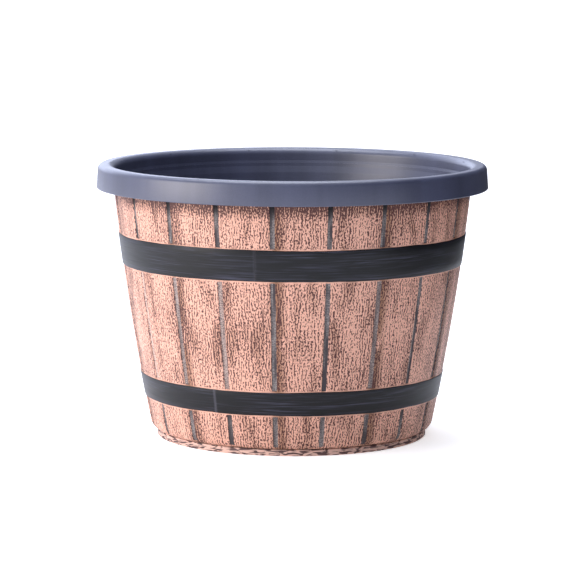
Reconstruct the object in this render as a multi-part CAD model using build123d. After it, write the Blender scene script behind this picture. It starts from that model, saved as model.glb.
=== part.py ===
from build123d import *
from math import radians, sin, tan
import os

os.makedirs("parts", exist_ok=True)

# Half-barrel planter in moulded plastic. Millimetres, +Z up, origin at the centre of the base.
# Every round piece is drawn as a half section in the XZ plane and turned about Z.

# Outside of the stave wall: a straight taper from foot to top, swelled by the belly
WALL_TOP_Z = 257.0
WALL_TOP_R = 179.6
FOOT_R = 140.5
SWELL = 3.24
BELLY_Z = 121.0

# Stave shell
SHELL_WALL = 2.4
SHELL_CORNER = 10.0
SHELL_EASE = 5.0
SHELL_FLOOR = 2.6
STAVES = 20
GROOVE_WIDTH = 5.0
GROOVE_DEPTH = 1.1
GROOVE_LOW_Z = 17.0
GROOVE_ANGLE = -96.2

# Hoops: height of each band's lower edge, its width, and the angle of its butt joint
LOWER_HOOP_Z = 41.5
LOWER_HOOP_WIDTH = 23.6
LOWER_HOOP_SPLIT = -119.5
UPPER_HOOP_Z = 174.2
UPPER_HOOP_WIDTH = 30.7
UPPER_HOOP_SPLIT = -102.0
HOOP_WALL = 0.6
HOOP_SPLIT_GAP = 0.8
HOOP_LIP = 2.6

# Saucer under the barrel
SAUCER_R = 135.4
SAUCER_HEIGHT = 6.4
SAUCER_DRAFT = 0.5
SAUCER_WALL = 2.2
DISH_R = 115.6
DISH_FOOT_Z = 1.4
COLLAR_HEIGHT = 8.6
WEB_WALL = 1.8
WEB_LIFT = 0.8

# Planting liner: LINER_LIFT is the room between its ribs and the saucer's collar
LINER_WALL = 2.0
LINER_LIFT = 1.8
LINER_FLOOR = 2.4
LINER_EASE = 6.0
RIB_BARS = 4
RIB_WALL = 2.0
RIB_HEIGHT = 4.8
RIB_R = 120.0

# Rolled rim of the liner, set out from the top edge of the stave wall
RIM_RISE = 15.5
RIM_OVERHANG = 16.4
RIM_DRAFT = 1.7
RIM_INSET = 0.9
SKIRT_HEIGHT = 23.4
RIM_WALL = 2.4
RIM_OUTER_ROUND = 5.0
RIM_INNER_ROUND = 7.0
RIM_STEP_IN = 1.0
RIM_STEP_HEIGHT = 2.4
RIM_SHOULDER = 0.6
RIM_WEB_DROP = 11.5
WEBS = 12

# Drains and their plugs
DRAINS = 4
DRAIN_CIRCLE_R = 80.0
DRAIN_FIRST_ANGLE = 45.0
DRAIN_R = 8.0
PLUG_FLANGE_R = 12.5
PLUG_FLANGE = 2.0
PLUG_STEM_DROP = 3.0
PLUG_VANE = 2.4
PLUG_TAB_WIDTH = 13.0
PLUG_TAB_HEIGHT = 11.0
PLUG_TAB_WALL = 3.0
PLUG_TAB_CUT = 3.0

# Clearances
SEAT_GAP = 0.3
COLLAR_GAP = 0.6
LINER_GAP = 0.8
HOOP_GAP = 0.1
PLUG_GAP = 0.4

# Overlap that lets a rib or web grow out of the wall that carries it
ROOT = 0.6

# Heights and radii that follow from the sizes above
shell_base_z = SAUCER_HEIGHT + SEAT_GAP
shell_floor_z = shell_base_z + SHELL_FLOOR
lower_hoop_top_z = LOWER_HOOP_Z + LOWER_HOOP_WIDTH
upper_hoop_top_z = UPPER_HOOP_Z + UPPER_HOOP_WIDTH
collar_r = DISH_R + SAUCER_WALL
shell_mouth_r = collar_r + COLLAR_GAP
shoulder_z = WALL_TOP_Z + SEAT_GAP
shoulder_r = WALL_TOP_R + RIM_SHOULDER
liner_floor_z = SAUCER_HEIGHT + COLLAR_HEIGHT + LINER_LIFT + RIB_HEIGHT
liner_floor_top_z = liner_floor_z + LINER_FLOOR
rim_top_z = WALL_TOP_Z + RIM_RISE
rim_r = WALL_TOP_R + RIM_OVERHANG
crown_r = rim_r - RIM_DRAFT
rim_inner_r = WALL_TOP_R - RIM_INSET
skirt_z = rim_top_z - SKIRT_HEIGHT
channel_z = rim_top_z - RIM_WALL

# Webs under the rim and under the saucer's flange stand between the four quarters
web_angles = [(i + 0.5) * 360 / WEBS for i in range(WEBS)]

# Heights at which the wall's outline bends: it is straight between them
bend_heights = (lower_hoop_top_z, BELLY_Z, UPPER_HOOP_Z)


def wall_r(z, depth=0.0):
    """Radius of the stave wall at height z, on a surface that lies depth inside it."""
    t = (z - shell_base_z) / (WALL_TOP_Z - shell_base_z)
    return FOOT_R + (WALL_TOP_R - FOOT_R) * t + 4 * SWELL * t * (1 - t) - depth


def wall_line(z0, z1, depth=0.0, bends=bend_heights):
    """Points up the wall from z0 to z1, moved inwards by depth."""
    heights = (z0, *(z for z in bends if z0 < z < z1), z1)
    return [(wall_r(z, depth), z) for z in heights]


def eased(before, corner, after, radius, steps=2):
    """Points that round an outline's corner in a few straight steps, tangent to both sides."""
    corner = Vector(*corner)
    side_a = (Vector(*before) - corner).normalized()
    side_b = (Vector(*after) - corner).normalized()
    half = radians(side_a.get_angle(side_b) / 2)
    centre = corner + (side_a + side_b).normalized() * (radius / sin(half))
    first = corner + side_a * (radius / tan(half)) - centre
    last = corner + side_b * (radius / tan(half)) - centre
    arms = [first * (1 - i / steps) + last * (i / steps) for i in range(steps + 1)]
    return [centre + arm.normalized() * radius for arm in arms]


def turned(points):
    """The solid turned about Z from a half section given as (r, z) points."""
    return revolve(Plane.XZ * make_face(Polyline(points, close=True)), Axis.Z)


def radial_bar(r0, r1, z0, z1, width, angle):
    """A bar that points outwards from the axis at the given angle."""
    bar = Pos((r0 + r1) / 2, 0, (z0 + z1) / 2) * Box(r1 - r0, width, z1 - z0)
    return Rot(0, 0, angle) * bar


def groove_spans():
    """Heights between which the grooves run: they stop at the smooth lips beside the hoops."""
    return [
        (GROOVE_LOW_Z, LOWER_HOOP_Z - HOOP_LIP),
        (lower_hoop_top_z + HOOP_LIP, UPPER_HOOP_Z - HOOP_LIP),
        (upper_hoop_top_z + HOOP_LIP, WALL_TOP_Z),
    ]


def groove_cutter(z0, z1):
    """Flat-bottomed cut along +X that follows the wall from z0 to z1 at the groove's depth."""
    clear_r = WALL_TOP_R + ROOT
    outline = wall_line(z0, z1, GROOVE_DEPTH) + [(clear_r, z1), (clear_r, z0)]
    face = Plane.XZ * make_face(Polyline(outline, close=True))
    return extrude(face, GROOVE_WIDTH / 2, both=True)


def stave_shell():
    """Outer wall moulded as staves, turned in at the foot to a flange round the open mouth."""
    mouth = (shell_mouth_r, shell_base_z)
    outside = wall_line(shell_base_z, WALL_TOP_Z)
    inside = wall_line(shell_floor_z + SHELL_EASE, WALL_TOP_Z, SHELL_WALL, bends=(BELLY_Z,))
    shell = turned([
        mouth,
        *eased(mouth, outside[0], outside[1], SHELL_CORNER, steps=3),
        *outside[1:],
        *inside[::-1],
        (wall_r(shell_floor_z, SHELL_WALL) - SHELL_EASE, shell_floor_z),
        (shell_mouth_r, shell_floor_z),
    ])
    grooves = [
        Rot(0, 0, GROOVE_ANGLE + i * 360 / STAVES) * cutter
        for cutter in (groove_cutter(z0, z1) for z0, z1 in groove_spans())
        for i in range(STAVES)
    ]
    return shell - grooves


def hoop(z, width, split):
    """Flat band bent round the wall, with its two ends butted."""
    top = z + width
    ring = turned(wall_line(z, top, -HOOP_GAP) + wall_line(z, top, -HOOP_GAP - HOOP_WALL)[::-1])
    r_in, r_out = wall_r(z, ROOT), wall_r(top, -ROOT) + HOOP_WALL
    return ring - radial_bar(r_in, r_out, z - ROOT, top + ROOT, HOOP_SPLIT_GAP, split)


def saucer():
    """Drip saucer: a dish whose collar stands up inside the barrel's mouth, and a skirt."""
    floor_top = DISH_FOOT_Z + SAUCER_WALL
    collar_top = SAUCER_HEIGHT + COLLAR_HEIGHT
    flange_under = SAUCER_HEIGHT - SAUCER_WALL
    brim_r = SAUCER_R - SAUCER_DRAFT
    body = turned([
        (0, DISH_FOOT_Z),
        (collar_r, DISH_FOOT_Z),
        (collar_r, flange_under),
        (brim_r - SAUCER_WALL, flange_under),
        (SAUCER_R - SAUCER_WALL, 0),
        (SAUCER_R, 0),
        (brim_r, SAUCER_HEIGHT),
        (collar_r, SAUCER_HEIGHT),
        (collar_r, collar_top),
        (DISH_R, collar_top),
        (DISH_R, floor_top),
        (0, floor_top),
    ])
    web_out = brim_r - SAUCER_WALL + ROOT
    web_top = flange_under + ROOT
    webs = [
        radial_bar(collar_r - ROOT, web_out, WEB_LIFT, web_top, WEB_WALL, angle)
        for angle in web_angles
    ]
    return body + webs


def liner_body():
    """The liner's floor, straight tapered wall and rolled rim, turned from one section."""
    inner_wall = SHELL_WALL + LINER_GAP + LINER_WALL
    outside = wall_line(liner_floor_z + LINER_EASE, shoulder_z, SHELL_WALL + LINER_GAP, bends=())
    inside = wall_line(liner_floor_top_z + LINER_EASE, shoulder_z, inner_wall, bends=())
    skirt = (rim_r, skirt_z)
    crown_out, crown_in = (crown_r, rim_top_z), (rim_inner_r, rim_top_z)
    step = (rim_inner_r - RIM_STEP_IN, shoulder_z + RIM_STEP_HEIGHT)
    return turned([
        (0, liner_floor_z),
        (outside[0][0] - LINER_EASE, liner_floor_z),
        *outside,
        (shoulder_r, shoulder_z),
        (shoulder_r, channel_z),
        (crown_r - RIM_WALL, channel_z),
        (rim_r - RIM_WALL, skirt_z),
        skirt,
        *eased(skirt, crown_out, crown_in, RIM_OUTER_ROUND),
        *eased(crown_out, crown_in, step, RIM_INNER_ROUND),
        step,
        *inside[::-1],
        (inside[0][0] - LINER_EASE, liner_floor_top_z),
        (0, liner_floor_top_z),
    ])


def drain_places():
    return PolarLocations(DRAIN_CIRCLE_R, DRAINS, DRAIN_FIRST_ANGLE)


def planting_liner():
    """Inner pot: drain holes, crossed ribs under the floor, webs inside the rolled rim."""
    rib_low, rib_top = liner_floor_z - RIB_HEIGHT, liner_floor_z + ROOT
    ribs = [
        radial_bar(-RIB_R, RIB_R, rib_low, rib_top, RIB_WALL, (i + 0.5) * 180 / RIB_BARS)
        for i in range(RIB_BARS)
    ]
    web_in, web_out = shoulder_r - ROOT, crown_r - RIM_WALL + ROOT
    webs = [
        radial_bar(web_in, web_out, channel_z - RIM_WEB_DROP, channel_z + ROOT, WEB_WALL, angle)
        for angle in web_angles
    ]
    drill = Pos(0, 0, liner_floor_z) * Cylinder(DRAIN_R, 4 * LINER_FLOOR)
    drains = [place * drill for place in drain_places()]
    return liner_body() + [*ribs, *webs] - drains


def drain_plug():
    """Push-in plug: crossed vanes in the drain, a flange on the floor and a pull tab."""
    seat_z = liner_floor_top_z + SEAT_GAP
    low_z = liner_floor_z - PLUG_STEM_DROP
    flange_z = seat_z + PLUG_FLANGE
    tab_top = flange_z + PLUG_TAB_HEIGHT
    flange = Pos(0, 0, seat_z + PLUG_FLANGE / 2) * Cylinder(PLUG_FLANGE_R, PLUG_FLANGE)
    vane_r = DRAIN_R - PLUG_GAP
    vane = radial_bar(-vane_r, vane_r, low_z, seat_z + ROOT, PLUG_VANE, 0)
    tab = radial_bar(
        -PLUG_TAB_WIDTH / 2, PLUG_TAB_WIDTH / 2, flange_z - ROOT, tab_top, PLUG_TAB_WALL, 0
    )
    tab = chamfer(tab.edges().filter_by(Axis.Y).group_by(Axis.Z)[-1], PLUG_TAB_CUT)
    return flange + [vane, Rot(0, 0, 90) * vane, tab]


def main():
    parts = {
        "saucer": saucer(),
        "stave_shell": stave_shell(),
        "lower_hoop": hoop(LOWER_HOOP_Z, LOWER_HOOP_WIDTH, LOWER_HOOP_SPLIT),
        "upper_hoop": hoop(UPPER_HOOP_Z, UPPER_HOOP_WIDTH, UPPER_HOOP_SPLIT),
        "planting_liner": planting_liner(),
    }
    plug = drain_plug()
    for number, place in enumerate(drain_places(), start=1):
        parts[f"drain_plug_{number}"] = place * plug
    for name, shape in parts.items():
        export_step(shape, f"parts/{name}.step")


main()
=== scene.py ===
from functools import partial
from math import atan2, cos, hypot, pi, radians, sin, tan

import bmesh
import bpy
from mathutils import Matrix, Vector, noise


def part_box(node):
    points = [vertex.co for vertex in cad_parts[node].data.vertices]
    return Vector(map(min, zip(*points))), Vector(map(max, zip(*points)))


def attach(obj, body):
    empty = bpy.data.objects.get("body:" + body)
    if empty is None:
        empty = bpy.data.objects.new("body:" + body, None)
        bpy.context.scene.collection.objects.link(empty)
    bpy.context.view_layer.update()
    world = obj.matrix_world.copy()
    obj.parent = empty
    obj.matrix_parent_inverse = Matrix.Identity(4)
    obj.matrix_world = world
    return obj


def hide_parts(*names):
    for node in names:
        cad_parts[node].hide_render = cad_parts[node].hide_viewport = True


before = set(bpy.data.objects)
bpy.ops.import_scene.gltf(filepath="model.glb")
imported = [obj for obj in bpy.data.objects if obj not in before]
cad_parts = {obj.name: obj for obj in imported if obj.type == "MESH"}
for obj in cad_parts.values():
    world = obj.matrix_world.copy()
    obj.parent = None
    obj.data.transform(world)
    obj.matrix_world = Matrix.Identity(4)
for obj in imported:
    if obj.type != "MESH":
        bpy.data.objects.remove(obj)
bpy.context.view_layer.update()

bl_info = {
    "name": "Half-barrel planter",
    "version": (1, 0, 0),
    "blender": (4, 5, 0),
    "location": "3D View > Sidebar > Planter",
    "description": "Builds a moulded half-barrel planter with its hoops, liner, plugs and saucer",
    "category": "Object",
}

MM = 0.001

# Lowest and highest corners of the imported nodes
shell_low, shell_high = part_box("stave_shell")
lower_hoop_low, lower_hoop_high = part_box("lower_hoop")
upper_hoop_low, upper_hoop_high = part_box("upper_hoop")
liner_low, liner_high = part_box("planting_liner")
saucer_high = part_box("saucer")[1]
plug_low, plug_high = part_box("drain_plug_1")

# Staves and hoops round the axis
STAVES = 20
STAVE_PITCH = 2 * pi / STAVES
GROOVE_START = radians(-96.2)
HOOP_EDGES = (lower_hoop_low.z, lower_hoop_high.z, upper_hoop_low.z, upper_hoop_high.z)
LOWER_HOOP_SPLIT = radians(-119.5)
UPPER_HOOP_SPLIT = radians(-102.0)

# Joints between the hoops whose print is pale, counted from GROOVE_START, and how pale
PALE_JOINTS = {17: 0.9, 18: 0.25, 19: 0.45, 2: 0.2}

# A groove's end rises over RUN_OUT, or FOOT_RUN_OUT at the foot. Its side slopes over FLANK,
# of which FLANK_IN lies inside half its width.
RUN_OUT = 0.9 * MM
FOOT_RUN_OUT = 1.2 * MM
FLANK = 0.9 * MM
FLANK_IN = 0.6 * MM

# Beside a hoop the wall is plain over LIP_PLAIN, and its grain comes back over LIP_FADE
LIP_PLAIN = 0.6 * MM
LIP_FADE = 1.0 * MM

# How far a stain's middle lies from its joint
STAIN_SHIFT = 4 * MM

# Wander of the groove edges: how far, over what length, and seeds for joint, side and layer
WANDER = ((0.25 * MM, 9 * MM, 7.3, 2.1, 0), (0.2 * MM, 2.6 * MM, 3.7, 5.3, 4))

# Noise over the printed staves: cell across and up a stave in mm, detail, distortion, seed.
# Drift thins and thickens the print, sway bends its lines, fray roughens their edges, blotch
# breaks up the brown stains, and speckle and patch lie in the joints.
STAVE_CLOUDS = {
    "drift": (16, 60, 2, 0.2, 5.0),
    "sway": (4, 8, 2, 0.0, 13.0),
    "fray": (1.1, 2.2, 1, 0.0, 9.0),
    "blotch": (9, 45, 3, 0.4, 29.0),
    "speckle": (2.2, 1.0, 2, 0.4, 41.0),
    "patch": (30, 40, 2, 0.0, 53.0),
}

# How far the flange at the shell's foot reaches in from the wall's outline
FLANGE_REACH = 22.1 * MM

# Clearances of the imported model
SEAT_GAP = 0.3 * MM
COLLAR_GAP = 0.6 * MM
LINER_GAP = 0.8 * MM
PLUG_GAP = 0.4 * MM

# Webs inside the rim and under the saucer, and how far a web or rib reaches into its wall
WEBS = 12
FIRST_WEB = radians(15)
ROOT = 0.5 * MM

# Fineness of the meshes: steps round the axis, rows up a stave's outside and inside, columns
# across it
TURN_STEPS = 240
ROW_STEP = 6 * MM
INSIDE_ROWS = 14
STAVE_COLUMNS = 8


def linear(code):
    """The linear colour, with alpha 1, of an sRGB hex value such as "#e0a080"."""
    shares = [int(code[i : i + 2], 16) / 255 for i in (1, 3, 5)]
    return [s / 12.92 if s <= 0.04045 else ((s + 0.055) / 1.055) ** 2.4 for s in shares] + [1]


def length(name, description, default_mm):
    """A size property in metres, given in millimetres."""
    return bpy.props.FloatProperty(
        name=name, description=description, default=default_mm * MM, unit="LENGTH", precision=5
    )


def colour(name, description, code):
    """A colour property, given as an sRGB hex value."""
    return bpy.props.FloatVectorProperty(
        name=name, description=description, default=linear(code), size=4, subtype="COLOR"
    )


def watts(name, description, power):
    """A lamp's power in watts."""
    return bpy.props.FloatProperty(name=name, description=description, default=power, unit="POWER")


class StaveSettings(bpy.types.PropertyGroup):
    foot_r: length("Foot radius", "Radius of the wall's outline where it meets the base", 140.5)
    swell: length("Belly", "How far the belly swells out of the straight taper", 3.24)
    wall: length("Wall", "Thickness of the moulded wall", 2.4)
    floor: length("Floor", "Thickness of the flange at the foot", 2.6)
    corner: length("Foot corner", "Radius of the rounded corner at the foot", 10)
    inner_corner: length("Inner corner", "Radius inside the corner at the foot", 7)
    groove_width: length("Joint width", "Width of the groove between two staves", 5)
    groove_depth: length("Joint depth", "Depth of the groove between two staves", 1.1)
    groove_low: length("Joint foot", "Height at which the lowest grooves start", 8.9)
    lip: length("Lip", "Smooth strip between a groove's end and a hoop", 0.8)
    stain_width: length("Stain", "Reach of the brown stain beside every second joint", 11)
    dash_pitch: length("Grain pitch", "Distance between dashes, across a stave", 2.8)
    dash_reach: length("Grain length", "Distance between dashes, up a stave", 5.5)
    ground: colour("Ground", "Printed ground colour of the wood effect", "#e1aa93")
    tan: colour("Tan", "Browner ground beside some joints", "#966a4e")
    grain: colour("Grain", "Dark dashes of the grain", "#472120")
    joint: colour("Joint", "Floor of the grooves", "#474143")
    joint_light: colour("Joint speckle", "Pale speckle in the grooves", "#a79e9a")
    # Near black painted into the grooves close under the rim: painted shade from its overhang
    joint_painted_shade: colour("Joint shade", "Grooves close under the rim", "#141113")
    joint_worn: colour("Worn joint", "Grooves whose dark print has worn off", "#dcbcae")


class HoopSettings(bpy.types.PropertyGroup):
    lift: length("Lift", "Gap between the wall and the back of a hoop", 0.12)
    wall: length("Thickness", "Thickness of a hoop", 0.6)
    edge: length("Edge", "How far a hoop's edges are rounded back", 0.22)
    wave: length("Edge wave", "How far a hoop's edges stray from level", 0.5)
    gap: length("Joint", "Gap between the two ends of a hoop", 0.12)
    black: colour("Black", "Colour of the hoops", "#09090d")
    streak: colour("Streak", "Paler streaks along the hoops", "#393947")
    # Paler colour at a hoop's two butted ends, beside its joint
    end: colour("End", "Scuffed ends of a hoop", "#85828e")


class LinerSettings(bpy.types.PropertyGroup):
    wall: length("Wall", "Thickness of the liner's wall", 2)
    floor: length("Floor", "Thickness of the liner's floor", 2.4)
    rim_wall: length("Rim wall", "Thickness of the rolled rim", 2.4)
    rim_width: length("Rim width", "Width of the rim's top, with its rounded edges", 17.3)
    rim_draft: length("Rim draft", "How much the rim narrows from its lower edge to its top", 1.7)
    skirt: length("Skirt", "Height of the rim", 23.4)
    crown_out: length("Crown outside", "Radius of the rim's outer edge", 5)
    crown_in: length("Crown inside", "Radius of the rim's inner edge", 7)
    web_wall: length("Web", "Thickness of the webs inside the rim", 1.8)
    web_drop: length("Web height", "Height of the webs inside the rim", 11.5)
    rib_wall: length("Rib", "Thickness of the ribs under the floor", 2)
    rib_height: length("Rib height", "Height of the ribs under the floor", 4.8)
    rib_r: length("Rib reach", "How far the ribs reach from the axis", 120)
    grit: length("Grit", "Grain size of the moulded surface", 1.3)
    body: colour("Body", "Colour of the liner and its rim", "#43465a")


class SaucerSettings(bpy.types.PropertyGroup):
    wall: length("Wall", "Thickness of the saucer's walls", 2.2)
    draft: length("Draft", "How much the skirt narrows from its foot to its brim", 0.5)
    dish_foot: length("Dish", "Height of the dish's underside", 1.4)
    web_wall: length("Web", "Thickness of the webs under the shoulder", 1.8)
    web_lift: length("Web lift", "Height of the webs' lower edge", 0.8)
    ground: colour("Ground", "Printed ground colour of the saucer", "#deb8a8")
    grain: colour("Grain", "Dark dashes on the saucer", "#5b4544")


class PlugSettings(bpy.types.PropertyGroup):
    flange_r: length("Flange radius", "Radius of the plug's flange", 12.5)
    flange: length("Flange", "Thickness of the plug's flange", 2)
    drain_r: length("Drain radius", "Radius of a drain hole", 8)
    vane: length("Vane", "Thickness of the crossed vanes of the stem", 2.4)
    tab_width: length("Tab width", "Width of the finger tab", 13)
    tab_wall: length("Tab", "Thickness of the finger tab", 3)
    tab_round: length("Tab corner", "Radius of the finger tab's corners", 3)
    rubber: colour("Rubber", "Colour of the plugs", "#26262a")
    dust: colour("Dust", "Dust in the grain of the rubber", "#55545a")


class StageSettings(bpy.types.PropertyGroup):
    floor: colour("Floor", "Colour of the floor", "#f2f2f2")
    key: watts("Key", "Power of the left lamp", 36)
    top: watts("Top", "Power of the upper lamp", 34)
    back: watts("Back", "Power of the rear lamp", 20)
    bright: bpy.props.FloatProperty(
        name="Bright side", description="Light from the left and above", default=1.32
    )
    dim: bpy.props.FloatProperty(
        name="Dim side", description="Light from the right and the front", default=0.05
    )


def mesh_object(name, mesh, sharp=35):
    """An object for a finished mesh, smooth apart from edges that are sharper than the angle."""
    mesh.name = name
    mesh.shade_smooth()
    mesh.set_sharp_from_angle(angle=radians(sharp))
    piece = bpy.data.objects.new(name, mesh)
    bpy.context.scene.collection.objects.link(piece)
    return piece


def closed_mesh(name, points, faces):
    """A mesh of these points and faces, with doubles merged and its faces turned outwards."""
    mesh = bpy.data.meshes.new(name)
    mesh.from_pydata(points, [], faces)
    shape = bmesh.new()
    shape.from_mesh(mesh)
    bmesh.ops.remove_doubles(shape, verts=shape.verts, dist=1e-6)
    bmesh.ops.recalc_face_normals(shape, faces=shape.faces)
    shape.to_mesh(mesh)
    shape.free()
    return mesh


def rounded(before, corner, after, radius, steps=6):
    """Points of the arc that rounds an outline's corner, tangent to both sides."""
    corner = Vector(corner)
    side_a = (Vector(before) - corner).normalized()
    side_b = (Vector(after) - corner).normalized()
    half = side_a.angle(side_b) / 2
    centre = corner + (side_a + side_b).normalized() * (radius / sin(half))
    first = corner + side_a * (radius / tan(half)) - centre
    last = corner + side_b * (radius / tan(half)) - centre
    arms = [first.lerp(last, i / steps) for i in range(steps + 1)]
    return [tuple(centre + arm.normalized() * radius) for arm in arms]


def turned(name, outline, steps=TURN_STEPS):
    """Mesh turned about Z from an outline of (r, z) points that starts and ends on the axis."""
    points, faces, rings = [], [], []
    for r, z in outline:
        count = steps if r > 0 else 1
        rings.append(range(len(points), len(points) + count))
        turns = [2 * pi * i / steps for i in range(count)]
        points += [(r * cos(turn), r * sin(turn), z) for turn in turns]
    for low, high in zip(rings, rings[1:]):
        for i in range(steps):
            j = (i + 1) % steps
            below = (low[i % len(low)], low[j % len(low)])
            above = (high[j % len(high)], high[i % len(high)])
            faces.append(list(dict.fromkeys(below + above)))
    return closed_mesh(name, points, faces)


def bar(r0, r1, z0, z1, width, angle=0.0):
    """Points and faces of a bar that points outwards from the axis at an angle."""
    half = width / 2
    turn = Matrix.Rotation(angle, 3, "Z")
    plan = ((r0, -half), (r1, -half), (r1, half), (r0, half))
    corners = [turn @ Vector((r, y, z)) for z in (z0, z1) for r, y in plan]
    faces = [(3, 2, 1, 0), (4, 5, 6, 7), (0, 1, 5, 4), (1, 2, 6, 5), (2, 3, 7, 6), (3, 0, 4, 7)]
    return corners, faces


def joined(name, parts):
    """One mesh of several lots of points and faces."""
    points, faces = [], []
    for part_points, part_faces in parts:
        base = len(points)
        points += [tuple(p) for p in part_points]
        faces += [tuple(base + i for i in face) for face in part_faces]
    return closed_mesh(name, points, faces)


def as_lists(mesh):
    """A mesh's points and faces, to join it to another."""
    return [v.co.copy() for v in mesh.vertices], [tuple(p.vertices) for p in mesh.polygons]


def node(tree, kind, inputs=(), **settings):
    """Adds a node with its settings. Inputs maps a socket to a value, to the socket that it
    reads, or to the node whose first output it reads."""
    added = tree.nodes.new(kind)
    for name, value in settings.items():
        setattr(added, name, value)
    for key, value in dict(inputs).items():
        source = value.outputs[0] if isinstance(value, bpy.types.Node) else value
        if isinstance(source, bpy.types.NodeSocket):
            tree.links.new(source, added.inputs[key])
        else:
            added.inputs[key].default_value = source
    return added


def ring_tree():
    """Geometry Nodes tree that repeats a shape round the Z axis and joins the copies."""
    known = bpy.data.node_groups.get("ring_of_copies")
    if known:
        return known
    tree = bpy.data.node_groups.new("ring_of_copies", "GeometryNodeTree")
    for name, way, kind in (
        ("Geometry", "INPUT", "Geometry"),
        ("Copies", "INPUT", "Int"),
        ("First angle", "INPUT", "Float"),
        ("Weld", "INPUT", "Float"),
        ("Finish", "INPUT", "Material"),
        ("Geometry", "OUTPUT", "Geometry"),
    ):
        tree.interface.new_socket(name, in_out=way, socket_type=f"NodeSocket{kind}")
    add = partial(node, tree)
    given = add("NodeGroupInput").outputs
    index = add("GeometryNodeInputIndex")
    share = add("ShaderNodeMath", {0: index, 1: given["Copies"]}, operation="DIVIDE")
    turn = {0: share, 1: 2 * pi, 2: given["First angle"]}
    angle = add("ShaderNodeMath", turn, operation="MULTIPLY_ADD")
    turned_by = add("FunctionNodeAxisAngleToRotation", {"Axis": (0, 0, 1), "Angle": angle})
    points = add("GeometryNodePoints", {"Count": given["Copies"]})
    copies = add(
        "GeometryNodeInstanceOnPoints",
        {"Points": points, "Instance": given["Geometry"], "Rotation": turned_by},
    )
    solid = add("GeometryNodeRealizeInstances", {"Geometry": copies})
    welded = add("GeometryNodeMergeByDistance", {"Geometry": solid, "Distance": given["Weld"]})
    done = add("GeometryNodeSetMaterial", {"Geometry": welded, "Material": given["Finish"]})
    add("NodeGroupOutput", {"Geometry": done})
    return tree


def applied(piece):
    """Makes an object's modifiers part of its mesh."""
    seen = piece.evaluated_get(bpy.context.evaluated_depsgraph_get())
    mesh = bpy.data.meshes.new_from_object(seen)
    piece.modifiers.clear()
    piece.data = mesh
    return piece


def ringed(mesh, copies, first_angle, weld, finish):
    """The mesh of a shape repeated round the Z axis."""
    piece = bpy.data.objects.new("ring", mesh)
    bpy.context.scene.collection.objects.link(piece)
    ring = piece.modifiers.new("Ring", "NODES")
    ring.node_group = ring_tree()
    values = {"Copies": copies, "First angle": first_angle, "Weld": weld, "Finish": finish}
    for socket in ring.node_group.interface.items_tree:
        if socket.in_out == "INPUT" and socket.name in values:
            ring[socket.identifier] = values[socket.name]
    result = applied(piece).data
    bpy.data.objects.remove(piece)
    return result


def finish_piece(piece, material, body, slot, *nodes):
    """Gives a piece its material and ties it to the CAD model."""
    piece.data.materials.clear()
    piece.data.materials.append(material)
    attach(piece, body)
    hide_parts(*nodes)


def wall_r(z, depth=0.0):
    """Radius of the stave wall at height z, on a surface that lies depth inside it."""
    stave = bpy.context.scene.planter_staves
    t = (z - shell_low.z) / (shell_high.z - shell_low.z)
    return stave.foot_r + (shell_high.x - stave.foot_r) * t + 4 * stave.swell * t * (1 - t) - depth


def ease(t):
    """Smooth step from 0 to 1."""
    t = min(max(t, 0), 1)
    return t * t * (3 - 2 * t)


def wall_rows():
    """Rows up the outside of the wall: (height, how deep the groove is, how smooth the lip is)."""
    stave = bpy.context.scene.planter_staves
    spans = [
        (stave.groove_low, lower_hoop_low.z - stave.lip),
        (lower_hoop_high.z + stave.lip, upper_hoop_low.z - stave.lip),
        (upper_hoop_high.z + stave.lip, shell_high.z + 2 * RUN_OUT),
    ]
    heights = {*HOOP_EDGES, shell_high.z}
    for low, high in spans:
        heights.update(low + RUN_OUT * i / 4 for i in range(5))
        heights.update(high - RUN_OUT * i / 4 for i in range(5))
        steps = round((high - low) / ROW_STEP)
        heights.update(low + (high - low) * i / steps for i in range(1, steps))
    rows = []
    for z in sorted(h for h in heights if h <= shell_high.z):
        inside = max(min(z - low, high - z) for low, high in spans)
        to_hoop = min(abs(z - edge) for edge in HOOP_EDGES)
        rows.append((z, ease(inside / RUN_OUT), 1 - ease((to_hoop - LIP_PLAIN) / LIP_FADE)))
    return rows


def groove_share(distance):
    """Depth of a groove, as a share of its full depth, at a distance from its centre line."""
    half = bpy.context.scene.planter_staves.groove_width / 2
    return 1 - ease((distance - half + FLANK_IN) / FLANK)


def columns(r):
    """Angles across one stave at radius r: those by its two grooves keep their distance."""
    half = bpy.context.scene.planter_staves.groove_width / 2
    near = [0, half * 0.5, *(half + step * MM for step in (-0.6, -0.3, 0, 0.3, 1.2))]
    left = [distance / r for distance in near]
    right = [STAVE_PITCH - angle for angle in reversed(left)]
    gap = (right[0] - left[-1]) / (STAVE_COLUMNS + 1)
    return left + [left[-1] + gap * i for i in range(1, STAVE_COLUMNS + 1)] + right


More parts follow.
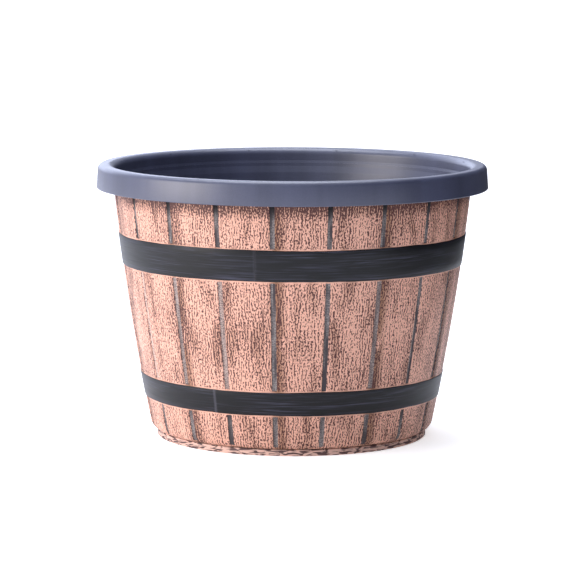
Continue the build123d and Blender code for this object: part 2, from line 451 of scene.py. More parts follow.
def shell_outline():
    """Closed outline of the shell's wall and foot: (r, z, groove share, lip share)."""
    stave = bpy.context.scene.planter_staves
    base_z = shell_low.z
    floor_z = base_z + stave.floor
    mouth_r = wall_r(base_z) - FLANGE_REACH
    rise = 20 * MM
    foot = (wall_r(base_z), base_z)
    above = (wall_r(base_z + rise), base_z + rise)
    corner = rounded((mouth_r, base_z), foot, above, stave.corner, steps=16)
    inside_foot = (wall_r(floor_z, stave.wall), floor_z)
    inside_above = (wall_r(floor_z + rise, stave.wall), floor_z + rise)
    inside_end = floor_z + stave.inner_corner + 2 * MM
    drop = (shell_high.z - inside_end) / INSIDE_ROWS
    inside_heights = [shell_high.z - drop * i for i in range(INSIDE_ROWS + 1)]
    inside = [(wall_r(z, stave.wall), z) for z in inside_heights]
    inside += rounded(inside_above, inside_foot, (mouth_r, floor_z), stave.inner_corner, steps=4)
    inside += [(mouth_r, floor_z), (mouth_r, base_z)]
    rows = [row for row in wall_rows() if row[0] > corner[-1][1] + 0.5 * MM]
    return [
        *((r, z, ease((z - stave.groove_low) / FOOT_RUN_OUT), 0) for r, z in corner),
        *((wall_r(z), z, share, lip) for z, share, lip in rows),
        *((r, z, 0, 0) for r, z in inside),
    ]


def stave_pair():
    """Two neighbouring staves as a 36 degree piece of the shell, from groove to groove. Its
    attributes say where the grooves, the plain lips and the brown stains are."""
    stave = bpy.context.scene.planter_staves
    outline = shell_outline()
    points, grooves, lips, stains = [], [], [], []
    for r, z, depth, lip in outline:
        one = columns(r)
        for angle in one + [STAVE_PITCH + a for a in one[1:]]:
            across = (angle % STAVE_PITCH) * r
            share = depth * groove_share(min(across, STAVE_PITCH * r - across))
            radius = r - share * stave.groove_depth
            points.append((radius * cos(angle), radius * sin(angle), z))
            grooves.append(share)
            lips.append(lip)
            ends = (angle * r, (angle - 2 * STAVE_PITCH) * r)
            beside = min(abs(end - STAIN_SHIFT) for end in ends)
            stains.append(1 - ease(beside / stave.stain_width))
    width = len(points) // len(outline)
    faces = []
    for i in range(len(outline)):
        j = (i + 1) % len(outline)
        for k in range(width - 1):
            faces.append((i * width + k, i * width + k + 1, j * width + k + 1, j * width + k))
    mesh = bpy.data.meshes.new("stave_pair")
    mesh.from_pydata(points, [], faces)
    for name, values in (("groove", grooves), ("lip", lips), ("stain", stains)):
        mesh.attributes.new(name, "FLOAT", "POINT").data.foreach_set("value", values)
    return mesh


def waver(mesh):
    """Lets the groove edges wander a little, and marks the joints whose print is worn pale."""
    stave = bpy.context.scene.planter_staves
    worn = mesh.attributes.new("worn", "FLOAT", "POINT")
    for number, vertex in enumerate(mesh.vertices):
        x, y, z = vertex.co
        r = hypot(x, y)
        along = (atan2(y, x) - GROOVE_START) / STAVE_PITCH
        joint = round(along)
        if lower_hoop_high.z < z < upper_hoop_low.z:
            worn.data[number].value = PALE_JOINTS.get(joint % STAVES, 0)
        across = (along - joint) * STAVE_PITCH * r
        near = 1 - ease((abs(across) - 2 * MM) / stave.groove_width)
        on_seam = abs(across) < 0.2 * MM
        on_inside = r < wall_r(z, 1.8 * MM)
        if near == 0 or on_seam or on_inside:
            continue
        side = 1 if across > 0 else -1
        shift = sum(
            amount * noise.noise(Vector((joint % STAVES * seed + side * turn, z / wave, layer)))
            for amount, wave, seed, turn, layer in WANDER
        )
        vertex.co = Matrix.Rotation(shift * near / r, 3, "Z") @ vertex.co


def board_map(mesh):
    """UV map in metres: across each stave and up it, with every stave at its own place."""
    layer = mesh.uv_layers.new(name="board")
    for face in mesh.polygons:
        x, y, _ = face.center
        stave = int(((atan2(y, x) - GROOVE_START) / STAVE_PITCH) % STAVES)
        centre = GROOVE_START + (stave + 0.5) * STAVE_PITCH
        for corner in face.loop_indices:
            p = mesh.vertices[mesh.loops[corner].vertex_index].co
            turn = (atan2(p.y, p.x) - centre + pi) % (2 * pi) - pi
            layer.data[corner].uv = (turn * hypot(p.x, p.y) + stave * 0.1, p.z)


def printed_staves():
    """Moulded polypropylene under a printed wood film: matt salmon ground, short dark dashes
    that sink into the surface, browner streaks beside every second joint, grey speckled joints,
    and a darker top under the rim that is painted shade, partly denser print."""
    stave = bpy.context.scene.planter_staves
    material = bpy.data.materials.new("printed_polypropylene_staves")
    material.use_nodes = True
    tree = material.node_tree
    add = partial(node, tree)
    shader = tree.nodes["Principled BSDF"]
    uv = add("ShaderNodeUVMap", uv_map="board")
    height = add("ShaderNodeSeparateXYZ", {0: uv}).outputs["Y"]
    groove, lip, stain, worn = (
        add("ShaderNodeAttribute", attribute_name=name).outputs["Fac"]
        for name in ("groove", "lip", "stain", "worn")
    )

    clouds = {}
    for name, (across, along, detail, distortion, seed) in STAVE_CLOUDS.items():
        stretch = {0: uv, 1: (1 / (across * MM), 1 / (along * MM), 1), 2: (seed, seed * 3.1, 0)}
        cells = add("ShaderNodeVectorMath", stretch, operation="MULTIPLY_ADD")
        looks = {"Vector": cells, "Scale": 1, "Detail": detail, "Distortion": distortion}
        clouds[name] = add("ShaderNodeTexNoise", looks, noise_dimensions="2D")

    # Wavy upright lines that fork and break off: the short dashes, and a few long cracks
    sway = add("ShaderNodeMath", {0: clouds["sway"], 1: 3 * MM}, operation="MULTIPLY")
    aside = add("ShaderNodeCombineXYZ", {"X": sway})
    swayed = add("ShaderNodeVectorMath", {0: uv, 1: aside}, operation="ADD")
    ripples = []
    for pitch, reach in (
        (stave.dash_pitch, stave.dash_reach),
        (stave.dash_pitch * 1.5, stave.dash_reach * 4),
    ):
        stretch = {0: swayed, 1: (1 / (1.6 * pitch), 1 / (1.5 * reach), 1)}
        cells = add("ShaderNodeVectorMath", stretch, operation="MULTIPLY")
        looks = {"Vector": cells, "Scale": 1, "Frequency": 1.6, "Anisotropy": 0.86}
        looks["Orientation"] = 0.0
        ripples.append(add("ShaderNodeTexGabor", looks, gabor_type="2D"))
    dashes, cracks = ripples

    # Shares from 0 to 1, each a smooth step of its source between two values
    shares = {}
    for name, source, low, high in (
        # The first share darkens the wall's top under the rim: painted shade from the rim's
        # overhang, partly also denser print
        ("painted_rim_shade", height, shell_high.z - 26 * MM, shell_high.z - 8 * MM),
        ("crack", cracks, 0.66, 0.74),
        ("cracked", clouds["drift"], 0.42, 0.58),
        ("stained", clouds["blotch"], 0.24, 0.5),
        ("brown", clouds["drift"], 0.5, 0.75),
        ("speckle", clouds["speckle"], 0.4, 0.66),
        ("patch", clouds["patch"], 0.32, 0.66),
        ("rubbed", clouds["speckle"], 0.25, 0.6),
        ("in_groove", groove, 0.25, 0.8),
    ):
        step = {"Value": source, "From Min": low, "From Max": high}
        shares[name] = add("ShaderNodeMapRange", step, interpolation_type="SMOOTHSTEP")

    # The print is denser where it drifts and in the stains, and frays at its edges. Under the rim it
    # is denser still: partly denser print there, partly painted shade from the rim's overhang
    density = dashes
    for source, middle, weight in (
        (clouds["fray"], 0.5, 1.1),
        (clouds["drift"], 0.5, 0.35),
        (shares["painted_rim_shade"], 0, 0.26),
        (stain, 0, 0.09),
    ):
        offset = add("ShaderNodeMath", {0: source, 1: middle}, operation="SUBTRACT")
        added = {0: offset, 1: weight, 2: density}
        density = add("ShaderNodeMath", added, operation="MULTIPLY_ADD")
    step = {"Value": density, "From Min": 0.53, "From Max": 0.6}
    dash = add("ShaderNodeMapRange", step, interpolation_type="SMOOTHSTEP")
    crack = add("ShaderNodeMath", {0: shares["crack"], 1: shares["cracked"]}, operation="MULTIPLY")
    crack = add("ShaderNodeMath", {0: crack, 1: 0.9}, operation="MULTIPLY")
    grain = add("ShaderNodeMath", {0: dash, 1: crack}, operation="MAXIMUM")
    off_lip = add("ShaderNodeMath", {0: 1.0, 1: lip}, operation="SUBTRACT")
    grain = add("ShaderNodeMath", {0: grain, 1: off_lip}, operation="MULTIPLY")

    # Wood: ground, brown stains, browning under the rim that is painted shade, dark grain
    browning = 0.0
    for source, weight in (
        (shares["stained"], stain),
        (shares["brown"], 0.45),
        (shares["painted_rim_shade"], 0.6),
    ):
        part = add("ShaderNodeMath", {0: source, 1: weight}, operation="MULTIPLY")
        browning = add("ShaderNodeMath", {0: browning, 1: part}, operation="MAXIMUM")
    dark = add("ShaderNodeMath", {0: grain, 1: 0.94}, operation="MULTIPLY")
    wood = stave.ground
    for share, over in ((browning, stave.tan), (dark, stave.grain)):
        mix = add("ShaderNodeMix", {0: share, 6: wood, 7: over}, data_type="RGBA")
        wood = mix.outputs[2]

    # Joints: dark floor, pale speckle in patches, shade under the rim, and some worn pale
    pale = {0: shares["speckle"], 1: 0.6, 2: 0.2}
    pale = add("ShaderNodeMath", pale, operation="MULTIPLY_ADD")
    pale = add("ShaderNodeMath", {0: pale, 1: shares["patch"]}, operation="MULTIPLY")
    # Pale speckle fades out under the rim, inside the painted shade there
    clear_of_rim_shade = add("ShaderNodeMath", {0: 1.0, 1: shares["painted_rim_shade"]}, operation="SUBTRACT")
    pale = add("ShaderNodeMath", {0: pale, 1: clear_of_rim_shade}, operation="MULTIPLY")
    rubbed = add("ShaderNodeMath", {0: worn, 1: shares["rubbed"]}, operation="MULTIPLY")
    joint = stave.joint
    for share, over in (
        (pale, stave.joint_light),
        (shares["painted_rim_shade"], stave.joint_painted_shade),
        (rubbed, stave.joint_worn),
    ):
        mix = add("ShaderNodeMix", {0: share, 6: joint, 7: over}, data_type="RGBA")
        joint = mix.outputs[2]
    print_colour = {0: shares["in_groove"], 6: wood, 7: joint}
    print_colour = add("ShaderNodeMix", print_colour, data_type="RGBA").outputs[2]
    tree.links.new(print_colour, shader.inputs["Base Color"])

    # Satin between the dashes, duller in them and dullest in the joints
    wood_rough = add("ShaderNodeMath", {0: grain, 1: 0.1, 2: 0.48}, operation="MULTIPLY_ADD")
    groove_rough = add("ShaderNodeMath", {0: shares["in_groove"], 1: 0.85}, operation="MULTIPLY")
    rough = add("ShaderNodeMath", {0: wood_rough, 1: groove_rough}, operation="MAXIMUM")
    tree.links.new(rough.outputs[0], shader.inputs["Roughness"])
    sunk = add("ShaderNodeMath", {0: clouds["speckle"], 1: 0.3}, operation="MULTIPLY")
    sunk = add("ShaderNodeMath", {0: sunk, 1: grain}, operation="SUBTRACT")
    bump = add("ShaderNodeBump", {"Height": sunk, "Strength": 0.6, "Distance": 0.35 * MM})
    tree.links.new(bump.outputs[0], shader.inputs["Normal"])
    shader.inputs["Specular IOR Level"].default_value = 0.4
    return material


class PLANTER_OT_staves(bpy.types.Operator):
    """Builds the stave shell: twenty moulded staves with grooves between them."""

    bl_idname = "planter.staves"
    bl_label = "Stave shell"

    def execute(self, context):
        finish = printed_staves()
        mesh = ringed(stave_pair(), STAVES // 2, GROOVE_START, 0.01 * MM, finish)
        waver(mesh)
        board_map(mesh)
        piece = mesh_object("staves", mesh)
        finish_piece(piece, finish, "barrel", "stave_plastic", "stave_shell")
        return {"FINISHED"}


def hoop_mesh(name, low, high, split, seam):
    """A band bent round the wall, with gently waving edges and its two ends butted; seam is how
    pale those ends are."""
    hoop = bpy.context.scene.planter_hoops
    gap = hoop.gap / wall_r(low)
    steps = 2 * TURN_STEPS
    rises = [0, 0.02, 0.25, 0.5, 0.75, 0.98, 1]
    width = 2 * len(rises)
    points, coordinates, seams = [], [], []

    def wave(angle, seed):
        """Shift of an edge at an angle, the same on both sides of the joint."""
        slow = noise.noise(Vector((cos(angle) * 3.1, sin(angle) * 3.1, seed * 388)))
        quick = noise.noise(Vector((cos(angle) * 11, sin(angle) * 11, seed * 236)))
        return hoop.wave * (1.4 * slow + 0.6 * quick)

    for i in range(steps + 1):
        angle = split + gap / 2 + (2 * pi - gap) * i / steps
        seams += [seam if i in (0, steps) else 0] * width
        z0, z1 = low + wave(angle, low), high + wave(angle, high)
        front = -hoop.lift - hoop.wall
        section = [(front + (hoop.edge if rise in (0, 1) else 0), rise) for rise in rises]
        section += [(-hoop.lift, rise) for rise in reversed(rises)]
        for depth, rise in section:
            z = z0 + (z1 - z0) * rise
            r = wall_r(z, depth)
            points.append((r * cos(angle), r * sin(angle), z))
            coordinates.append((angle * wall_r(low), z))
    faces = []
    for i in range(steps):
        for k in range(width):
            here, there = i * width, (i + 1) * width
            after = (k + 1) % width
            faces.append((here + k, here + after, there + after, there + k))
    faces += [tuple(range(width)), tuple(reversed(range(steps * width, (steps + 1) * width)))]
    mesh = bpy.data.meshes.new(name)
    mesh.from_pydata(points, [], faces)
    mesh.attributes.new("seam", "FLOAT", "POINT").data.foreach_set("value", seams)
    layer = mesh.uv_layers.new(name="band")
    for corner, loop in enumerate(mesh.loops):
        layer.data[corner].uv = coordinates[loop.vertex_index]
    shape = bmesh.new()
    shape.from_mesh(mesh)
    bmesh.ops.recalc_face_normals(shape, faces=shape.faces)
    shape.to_mesh(mesh)
    shape.free()
    return mesh


def streaked_black():
    """Satin black polypropylene strip: fine paler streaks run along it, as on brushed paint."""
    hoop = bpy.context.scene.planter_hoops
    material = bpy.data.materials.new("streaked_black_strip")
    material.use_nodes = True
    tree = material.node_tree
    add = partial(node, tree)
    shader = tree.nodes["Principled BSDF"]
    uv = add("ShaderNodeUVMap", uv_map="band")

    # Streaks 1.3 mm wide, in patches 9 mm wide
    streaks = []
    for along, across, seed in ((45 * MM, 1.3 * MM, 0.0), (90 * MM, 9 * MM, 7.0)):
        stretch = {0: uv, 1: (1 / along, 1 / across, 1), 2: (seed, seed, 0)}
        cells = add("ShaderNodeVectorMath", stretch, operation="MULTIPLY_ADD")
        looks = {"Vector": cells, "Scale": 1, "Detail": 3, "Distortion": 0.3}
        streaks.append(add("ShaderNodeTexNoise", looks, noise_dimensions="2D"))
    thin, broad = streaks
    streak = add("ShaderNodeMapRange", {"Value": thin, "From Min": 0.45, "From Max": 0.72})
    patch = add("ShaderNodeMapRange", {"Value": broad, "From Min": 0.35, "From Max": 0.7})
    share = add("ShaderNodeMath", {0: streak, 1: patch}, operation="MULTIPLY")
    seam = add("ShaderNodeAttribute", attribute_name="seam").outputs["Fac"]
    tint = hoop.black
    for amount, over in ((share, hoop.streak), (seam, hoop.end)):
        mix = add("ShaderNodeMix", {0: amount, 6: tint, 7: over}, data_type="RGBA")
        tint = mix.outputs[2]
    tree.links.new(tint, shader.inputs["Base Color"])
    rough = add("ShaderNodeMapRange", {"Value": thin, "To Min": 0.34, "To Max": 0.5})
    tree.links.new(rough.outputs[0], shader.inputs["Roughness"])
    bump = add("ShaderNodeBump", {"Height": thin, "Strength": 0.35, "Distance": 0.15 * MM})
    tree.links.new(bump.outputs[0], shader.inputs["Normal"])
    shader.inputs["Specular IOR Level"].default_value = 0.3
    return material


class PLANTER_OT_hoops(bpy.types.Operator):
    """Builds the lower and the upper hoop."""

    bl_idname = "planter.hoops"
    bl_label = "Hoops"

    def execute(self, context):
        finish = streaked_black()
        for level, low, high, split, seam in (
            ("lower", lower_hoop_low.z, lower_hoop_high.z, LOWER_HOOP_SPLIT, 0.22),
            ("upper", upper_hoop_low.z, upper_hoop_high.z, UPPER_HOOP_SPLIT, 0.06),
        ):
            name = f"{level}_band"
            piece = mesh_object(name, hoop_mesh(name, low, high, split, seam))
            finish_piece(piece, finish, "barrel", "hoop_plastic", f"{level}_hoop")
        return {"FINISHED"}


def matt_liner():
    """Charcoal polypropylene with a fine moulded grit: matt, a little blue, with faint upright
    bands of painted sheen up the wall."""
    liner = bpy.context.scene.planter_liner
    material = bpy.data.materials.new("matt_charcoal_polypropylene")
    material.use_nodes = True
    tree = material.node_tree
    add = partial(node, tree)
    shader = tree.nodes["Principled BSDF"]
    place = add("ShaderNodeTexCoord").outputs["Object"]
    grit = add("ShaderNodeTexNoise", {"Vector": place, "Scale": 1 / liner.grit, "Detail": 3})

    # Upright bands of painted sheen, 30 mm wide and eight times as tall
    upright = add("ShaderNodeVectorMath", {0: place, 1: (1, 1, 0.12)}, operation="MULTIPLY")
    painted_sheen = add("ShaderNodeTexNoise", {"Vector": upright, "Scale": 1 / (30 * MM), "Detail": 3})
    # The bands are painted sheen in the base colour; the grit's tone is the plastic's own
    tones = []
    for source, spread in ((painted_sheen, 0.18), (grit, 0.07)):
        bounds = {"From Min": 0.3, "From Max": 0.7, "To Min": 1 - spread, "To Max": 1 + spread}
        tones.append(add("ShaderNodeMapRange", {"Value": source, **bounds}))
    tone = add("ShaderNodeMath", {0: tones[0], 1: tones[1]}, operation="MULTIPLY")
    tint = add("ShaderNodeVectorMath", {0: liner.body[:3], "Scale": tone}, operation="SCALE")
    tree.links.new(tint.outputs[0], shader.inputs["Base Color"])
    rough = add("ShaderNodeMapRange", {"Value": grit, "To Min": 0.3, "To Max": 0.44})
    tree.links.new(rough.outputs[0], shader.inputs["Roughness"])
    bump = add("ShaderNodeBump", {"Height": grit, "Strength": 0.5, "Distance": 0.12 * MM})
    tree.links.new(bump.outputs[0], shader.inputs["Normal"])
    shader.inputs["Specular IOR Level"].default_value = 0.7
    return material


def liner_outline():
    """Half section of the liner: floor, tapered wall and rolled rim. A slope leads from the wall
    to the rim's inner edge, and a ring of points inside the drains keeps the floor's faces short."""
    liner = bpy.context.scene.planter_liner
    stave = bpy.context.scene.planter_staves
    rim_r = min(liner_high.x, liner_high.y)
    top = liner_high.z
    channel_z = top - liner.rim_wall
    skirt_z = top - liner.skirt
    floor_z = liner_low.z + liner.rib_height
    floor_top = floor_z + liner.floor
    shoulder_z = shell_high.z + SEAT_GAP
    shoulder_r = shell_high.x + 0.6 * MM
    slope_z = shoulder_z - 10 * MM
    ring_r = 60 * MM
    out = stave.wall + LINER_GAP
    into = out + liner.wall
    crown_out, crown_in = (rim_r - liner.rim_draft, top), (rim_r - liner.rim_width, top)
    step = (crown_in[0] - 1 * MM, shoulder_z + 2.4 * MM)
    skirt_out, skirt_in = (rim_r, skirt_z), (rim_r - liner.rim_wall, skirt_z)
    channel_out = (crown_out[0] - liner.rim_wall, channel_z)
    low_out = (wall_r(floor_z + 6 * MM, out), floor_z)
    low_in = (wall_r(floor_top + 6 * MM, into), floor_top)
    top_out = (wall_r(shoulder_z, out), shoulder_z)
    slope_end = (wall_r(slope_z, into) + 0.6 * MM, slope_z)
    return [
        (0, floor_z),
        (ring_r, floor_z),
        *rounded((0, floor_z), low_out, top_out, 8 * MM),
        top_out,
        (shoulder_r, shoulder_z),
        (shoulder_r, channel_z),
        *rounded((shoulder_r, channel_z), channel_out, skirt_in, 3 * MM, steps=4),
        *rounded(channel_out, skirt_in, skirt_out, 0.8 * MM, steps=3),
        *rounded(skirt_in, skirt_out, crown_out, 0.8 * MM, steps=3),
        *rounded(skirt_out, crown_out, crown_in, liner.crown_out, steps=8),
        *rounded(crown_out, crown_in, step, liner.crown_in, steps=10),
        *rounded(crown_in, step, slope_end, 3 * MM, steps=4),
        *rounded(step, slope_end, low_in, 5 * MM, steps=4),
        *rounded(slope_end, low_in, (0, floor_top), 6 * MM),
        (ring_r, floor_top),
        (0, floor_top),
    ]


def drain_places():
    """Centres of the four drains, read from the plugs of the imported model."""
    corners = [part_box(f"drain_plug_{n}") for n in (1, 2, 3, 4)]
    return [((low.x + high.x) / 2, (low.y + high.y) / 2) for low, high in corners]


def drill(piece, radius, z0, z1):
    """Cuts the four drain holes."""
    cutter = bpy.data.meshes.new("drill")
    shape = bmesh.new()
    size = {"radius1": radius, "radius2": radius, "depth": z1 - z0}
    for x, y in drain_places():
        place = Matrix.Translation((x, y, (z0 + z1) / 2))
        bmesh.ops.create_cone(shape, cap_ends=True, segments=48, matrix=place, **size)
    shape.to_mesh(cutter)
    shape.free()
    tool = bpy.data.objects.new("drill", cutter)
    bpy.context.scene.collection.objects.link(tool)
    cut = piece.modifiers.new("Drains", "BOOLEAN")
    cut.object = tool
    cut.operation = "DIFFERENCE"
    applied(piece)
    bpy.data.objects.remove(tool)


class PLANTER_OT_liner(bpy.types.Operator):
    """Builds the planting liner with its rolled rim, webs, ribs and drain holes."""

    bl_idname = "planter.liner"
    bl_label = "Planting liner"

    def execute(self, context):
        liner = context.scene.planter_liner
        finish = matt_liner()
        body = bpy.data.objects.new("liner_body", turned("liner_body", liner_outline()))
        context.scene.collection.objects.link(body)
        floor_z = liner_low.z + liner.rib_height
        drill(body, context.scene.planter_plugs.drain_r, floor_z - 2 * MM, floor_z + 6 * MM)
        channel_z = liner_high.z - liner.rim_wall
        web_low, web_out = channel_z - liner.web_drop, liner_high.x - 4 * MM
        web = bar(shell_high.x, web_out, web_low, channel_z + ROOT, liner.web_wall)
        webs = ringed(joined("web", [web]), WEBS, FIRST_WEB, 0, finish)
        ribs = [
            bar(-liner.rib_r, liner.rib_r, liner_low.z, floor_z + ROOT, liner.rib_wall, turn)
            for turn in (radians(22.5 + 45 * i) for i in range(4))
        ]
        mesh = joined("liner", [as_lists(body.data), as_lists(webs), *ribs])
        bpy.data.objects.remove(body)
        piece = mesh_object("liner", mesh, sharp=40)
        finish_piece(piece, finish, "liner", "liner_plastic", "planting_liner")
        return {"FINISHED"}


def printed_saucer():
    """Moulded polypropylene with the wood print run round it: dashes lie level on the skirt."""
    saucer = bpy.context.scene.planter_saucer
    material = bpy.data.materials.new("printed_polypropylene_saucer")
    material.use_nodes = True
    tree = material.node_tree
    add = partial(node, tree)
    shader = tree.nodes["Principled BSDF"]
    uv = add("ShaderNodeUVMap", uv_map="skirt")

    # Dashes about 11 mm long and 1.9 mm apart
    stretch = {0: uv, 1: (1 / (11 * MM), 1 / (1.9 * MM), 1)}
    cells = add("ShaderNodeVectorMath", stretch, operation="MULTIPLY")
    looks = {"Vector": cells, "Scale": 1, "Detail": 2, "Distortion": 0.6}
    dash = add("ShaderNodeTexNoise", looks, noise_dimensions="2D")
    step = {"Value": dash, "From Min": 0.47, "From Max": 0.56}
    grain = add("ShaderNodeMapRange", step, interpolation_type="SMOOTHSTEP")
    tint = {0: grain, 6: saucer.ground, 7: saucer.grain}
    tint = add("ShaderNodeMix", tint, data_type="RGBA").outputs[2]
    tree.links.new(tint, shader.inputs["Base Color"])
    shader.inputs["Roughness"].default_value = 0.6
    shader.inputs["Specular IOR Level"].default_value = 0.35
    sunk = {"Height": grain, "Strength": 0.5, "Distance": 0.2 * MM}
    bump = add("ShaderNodeBump", sunk, invert=True)
    tree.links.new(bump.outputs[0], shader.inputs["Normal"])
    return material


def saucer_outline():
    """Half section of the saucer: dish, collar, shoulder and skirt."""
    saucer = bpy.context.scene.planter_saucer
    wall, foot_z = saucer.wall, saucer.dish_foot
    height, top = shell_low.z - SEAT_GAP, saucer_high.z
    base_r = min(saucer_high.x, saucer_high.y)
    brim_r = base_r - saucer.draft
    collar_r = wall_r(shell_low.z) - FLANGE_REACH - COLLAR_GAP
    dish_r = collar_r - wall
    skirt_in, skirt_out, brim = (base_r - wall, 0), (base_r, 0), (brim_r, height)
    shoulder_in = (collar_r, height)
    collar_out, collar_in = (collar_r, top), (dish_r, top)
    dish_corner, dish_middle = (dish_r, foot_z + wall), (0, foot_z + wall)
    return [
        (0, foot_z),
        (collar_r, foot_z),
        (collar_r, height - wall),
        (brim_r - wall, height - wall),
        skirt_in,
        *rounded(skirt_in, skirt_out, brim, 0.5 * MM, steps=3),
        *rounded(skirt_out, brim, shoulder_in, 1 * MM, steps=4),
        shoulder_in,
        *rounded(shoulder_in, collar_out, collar_in, 0.8 * MM, steps=3),
        *rounded(collar_out, collar_in, dish_corner, 0.8 * MM, steps=3),
        *rounded(collar_in, dish_corner, dish_middle, 4 * MM, steps=5),
        dish_middle,
    ]


class PLANTER_OT_saucer(bpy.types.Operator):
    """Builds the drip saucer with its collar, skirt and webs."""

    bl_idname = "planter.saucer"
    bl_label = "Saucer"

    def execute(self, context):
        saucer = context.scene.planter_saucer
        finish = printed_saucer()
        base_r = min(saucer_high.x, saucer_high.y)
        under = shell_low.z - SEAT_GAP - saucer.wall
        web_in = wall_r(shell_low.z) - FLANGE_REACH - COLLAR_GAP - ROOT
        web_out = base_r - saucer.draft - saucer.wall + 0.4 * MM
        web = bar(web_in, web_out, saucer.web_lift, under + ROOT, saucer.web_wall)
        webs = ringed(joined("web", [web]), WEBS, FIRST_WEB, 0, finish)
        dish = turned("dish", saucer_outline())
        mesh = joined("saucer_dish", [as_lists(dish), as_lists(webs)])
        layer = mesh.uv_layers.new(name="skirt")
        for corner, loop in enumerate(mesh.loops):
            x, y, z = mesh.vertices[loop.vertex_index].co
            around = (atan2(y, x) - pi / 2) % (2 * pi)
            layer.data[corner].uv = (around * base_r, z + hypot(x, y))
        piece = mesh_object("saucer_dish", mesh, sharp=40)
        finish_piece(piece, finish, "saucer", "saucer_plastic", "saucer")
        return {"FINISHED"}


def soft_rubber():
    """Moulded thermoplastic rubber: near black, soft broad gloss, faint dust in the grain."""
    plug = bpy.context.scene.planter_plugs
    material = bpy.data.materials.new("moulded_black_rubber")
    material.use_nodes = True
    tree = material.node_tree
    add = partial(node, tree)
    shader = tree.nodes["Principled BSDF"]
    place = add("ShaderNodeTexCoord").outputs["Object"]

    # Grain of 2.5 mm, coarser than the real one so that it shows
    dust = add("ShaderNodeTexNoise", {"Vector": place, "Scale": 1 / (2.5 * MM), "Detail": 4})
    share = add("ShaderNodeMapRange", {"Value": dust, "From Min": 0.4, "From Max": 0.8})
    tint = add("ShaderNodeMix", {0: share, 6: plug.rubber, 7: plug.dust}, data_type="RGBA")
    tree.links.new(tint.outputs[2], shader.inputs["Base Color"])
    shader.inputs["Roughness"].default_value = 0.72
    bump = add("ShaderNodeBump", {"Height": dust, "Strength": 0.3, "Distance": 0.1 * MM})
    tree.links.new(bump.outputs[0], shader.inputs["Normal"])
    return material


def plug_parts():
    """Points and faces of one plug on the axis: flange, crossed vanes and finger tab."""
    plug = bpy.context.scene.planter_plugs
    liner = bpy.context.scene.planter_liner
    seat_z = liner_low.z + liner.rib_height + liner.floor + SEAT_GAP
    flange_z, top = seat_z + plug.flange, plug_high.z
    r = plug.flange_r
    outline = [
        (0, seat_z),
        *rounded((0, seat_z), (r, seat_z), (r, flange_z), 0.4 * MM, steps=2),
        *rounded((r, seat_z), (r, flange_z), (0, flange_z), 0.9 * MM, steps=4),
        (0, flange_z),
    ]
    flange = as_lists(turned("flange", outline, steps=64))
    vane_r = plug.drain_r - PLUG_GAP
    vanes = [
        bar(-vane_r, vane_r, plug_low.z, seat_z + ROOT, plug.vane, turn)
        for turn in (0, radians(90))
    ]
    half = plug.tab_width / 2
    top_right, top_left = (half, top), (-half, top)
    side = [
        (-half, flange_z - ROOT),
        (half, flange_z - ROOT),
        *rounded((half, flange_z), top_right, top_left, plug.tab_round, steps=5),
        *rounded(top_right, top_left, (-half, flange_z), plug.tab_round, steps=5),
    ]
    count = len(side)
    tab_points = [(x, y, z) for y in (-plug.tab_wall / 2, plug.tab_wall / 2) for x, z in side]
    tab_faces = [tuple(range(count)), tuple(reversed(range(count, 2 * count)))]
    for i in range(count):
        j = (i + 1) % count
        tab_faces.append((i, j, count + j, count + i))
    return [flange, *vanes, (tab_points, tab_faces)]


class PLANTER_OT_plugs(bpy.types.Operator):
    """Builds the four drain plugs."""

    bl_idname = "planter.plugs"
    bl_label = "Drain plugs"

    def execute(self, context):
        finish = soft_rubber()
        parts = plug_parts()
        for number, (x, y) in enumerate(drain_places(), start=1):
            mesh = joined(f"plug_{number}", parts)
            mesh.transform(Matrix.Translation((x, y, 0)))
            piece = mesh_object(f"plug_{number}", mesh)
            soften = piece.modifiers.new("Soften", "BEVEL")
            soften.width = 0.3 * MM
            soften.segments = 2
            soften.limit_method = "ANGLE"
            soften.angle_limit = radians(50)
            applied(piece)
            finish_piece(piece, finish, f"plug_{number}", "plug_rubber", f"drain_plug_{number}")
        return {"FINISHED"}


def flat_card(name, corners, material):
    """A flat sheet of the studio, which isn't part of the planter."""
    mesh = bpy.data.meshes.new(name)
    mesh.from_pydata(corners, [], [(0, 1, 2, 3)])
    mesh.materials.append(material)
    card = bpy.data.objects.new(name, mesh)
    bpy.context.scene.collection.objects.link(card)
    return card


def studio_light(stage):
    """Room light that is bright from the left and above, and plain white where it is seen."""
    world = bpy.data.worlds.new("studio")
    bpy.context.scene.world = world
    world.use_nodes = True
    world.node_tree.nodes.clear()
    add = partial(node, world.node_tree)
    seen = add("ShaderNodeLightPath").outputs["Is Camera Ray"]
    direction = add("ShaderNodeTexCoord").outputs["Generated"]
    to_light = {0: direction, 1: (-0.75, 0.25, 0.61)}
    facing = add("ShaderNodeVectorMath", to_light, operation="DOT_PRODUCT").outputs["Value"]
    levels = {"From Min": -0.6, "From Max": 0.8, "To Min": stage.dim, "To Max": stage.bright}
    around = {"Value": facing, **levels}
    around = add("ShaderNodeMapRange", around, interpolation_type="SMOOTHSTEP")
    strength = add("ShaderNodeMix", {0: seen, 2: around, 3: 1.0})
    tint = {0: seen, 6: linear("#e6ecff"), 7: (1, 1, 1, 1)}
    tint = add("ShaderNodeMix", tint, data_type="RGBA").outputs[2]
    glow = add("ShaderNodeBackground", {"Color": tint, "Strength": strength})
    add("ShaderNodeOutputWorld", {"Surface": glow})


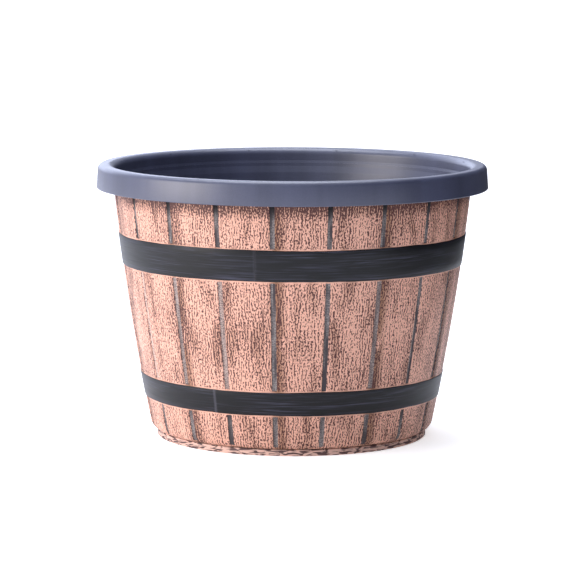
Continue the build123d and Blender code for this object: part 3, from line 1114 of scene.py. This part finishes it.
class PLANTER_OT_stage(bpy.types.Operator):
    """Sets the floor, the lamps, the surrounding light and the camera."""

    bl_idname = "planter.stage"
    bl_label = "Stage"

    def execute(self, context):
        stage = context.scene.planter_stage
        reach = 30
        corners = [(-reach, -reach, 0), (reach, -reach, 0), (reach, reach, 0), (-reach, reach, 0)]
        flat_card("floor", corners, pale_floor(stage.floor))

        # A black card beyond the frame keeps the white room off the planter's right side
        corners = [(0.5, -0.3, 0.05), (0.5, 1.8, 0.05), (0.5, 1.8, 1.1), (0.5, -0.3, 1.1)]
        flat_card("flag", corners, black_card()).visible_camera = False

        for name, place, size, power, tint in (
            ("key", (-1.9, -0.9, 0.5), (1.4, 1.4), stage.key, "#fff6ee"),
            ("top", (-0.2, 0.3, 1.9), (1.6, 1.2), stage.top, "#eef3ff"),
            ("back", (-1.0, 2.2, 1.1), (2.0, 1.4), stage.back, "#dde6ff"),
        ):
            lamp = bpy.data.lights.new(name, "AREA")
            lamp.shape = "RECTANGLE"
            lamp.size, lamp.size_y = size
            lamp.energy = power
            lamp.color = linear(tint)[:3]
            holder = bpy.data.objects.new(name, lamp)
            holder.location = place
            aim = Vector((0, 0, 0.14)) - Vector(place)
            holder.rotation_euler = aim.to_track_quat("-Z", "Y").to_euler()
            context.scene.collection.objects.link(holder)

        studio_light(stage)
        place_camera(context.scene)
        context.scene.view_settings.view_transform = "Standard"
        return {"FINISHED"}


def pale_floor(tint):
    """Matt white studio paper that keeps a soft shadow."""
    material = bpy.data.materials.new("studio_paper")
    material.use_nodes = True
    tree = material.node_tree
    add = partial(node, tree)
    shader = tree.nodes["Principled BSDF"]
    shader.inputs["Base Color"].default_value = tint
    shader.inputs["Roughness"].default_value = 0.9
    seen = add("ShaderNodeLightPath").outputs["Is Camera Ray"]
    glow = add("ShaderNodeMath", {0: seen, 1: 0.34, 2: 0.28}, operation="MULTIPLY_ADD")
    tree.links.new(glow.outputs[0], shader.inputs["Emission Strength"])
    shader.inputs["Emission Color"].default_value = (1, 1, 1, 1)
    return material


def black_card():
    """Matt black card."""
    material = bpy.data.materials.new("black_card")
    material.use_nodes = True
    shader = material.node_tree.nodes["Principled BSDF"]
    shader.inputs["Base Color"].default_value = linear("#0d0d0d")
    shader.inputs["Roughness"].default_value = 0.95
    return material


def place_camera(scene):
    """Long lens from the front, a little above the rim, as in the photograph."""
    distance, elevation = 3.0589, radians(7.867)
    focus = Vector((0, 0, 0.130))
    image_width, focal_pixels = 576, 3037.2
    roll = radians(0.203)
    camera = bpy.data.cameras.new("camera")
    camera.sensor_width = 36
    camera.lens = focal_pixels * camera.sensor_width / image_width
    camera.clip_end = 100
    holder = bpy.data.objects.new("camera", camera)
    holder.location = focus + distance * Vector((0, -cos(elevation), sin(elevation)))
    # The picture's centre lies 4 px left of and 16 px above the focus
    aside, above = 4.04 / focal_pixels, 16.31 / focal_pixels
    look = (focus - holder.location).normalized().to_track_quat("-Z", "Y").to_matrix()
    aim = look @ Vector((-aside, above, -1))
    turned_look = aim.to_track_quat("-Z", "Y").to_matrix() @ Matrix.Rotation(roll, 3, "Z")
    holder.rotation_euler = turned_look.to_euler()
    scene.collection.objects.link(holder)
    scene.camera = holder


class PLANTER_PT_sidebar(bpy.types.Panel):
    """Lists the planter's pieces and their sizes in the sidebar."""

    bl_label = "Planter"
    bl_idname = "PLANTER_PT_sidebar"
    bl_space_type = "VIEW_3D"
    bl_region_type = "UI"
    bl_category = "Planter"

    def draw(self, context):
        for operator, settings in GROUPS.items():
            box = self.layout.box()
            box.operator(operator.bl_idname)
            group = getattr(context.scene, settings)
            for name in group.__annotations__:
                box.prop(group, name)


GROUPS = {
    PLANTER_OT_staves: "planter_staves",
    PLANTER_OT_hoops: "planter_hoops",
    PLANTER_OT_liner: "planter_liner",
    PLANTER_OT_saucer: "planter_saucer",
    PLANTER_OT_plugs: "planter_plugs",
    PLANTER_OT_stage: "planter_stage",
}
SETTINGS = {
    "planter_staves": StaveSettings,
    "planter_hoops": HoopSettings,
    "planter_liner": LinerSettings,
    "planter_saucer": SaucerSettings,
    "planter_plugs": PlugSettings,
    "planter_stage": StageSettings,
}
CLASSES = (*SETTINGS.values(), *GROUPS, PLANTER_PT_sidebar)


def register():
    for cls in CLASSES:
        bpy.utils.register_class(cls)
    for name, cls in SETTINGS.items():
        setattr(bpy.types.Scene, name, bpy.props.PointerProperty(type=cls))


def unregister():
    for name in SETTINGS:
        delattr(bpy.types.Scene, name)
    for cls in reversed(CLASSES):
        bpy.utils.unregister_class(cls)


def main():
    register()
    bpy.ops.planter.staves()
    bpy.ops.planter.hoops()
    bpy.ops.planter.liner()
    bpy.ops.planter.saucer()
    bpy.ops.planter.plugs()
    bpy.ops.planter.stage()


if __name__ == "__main__":
    main()
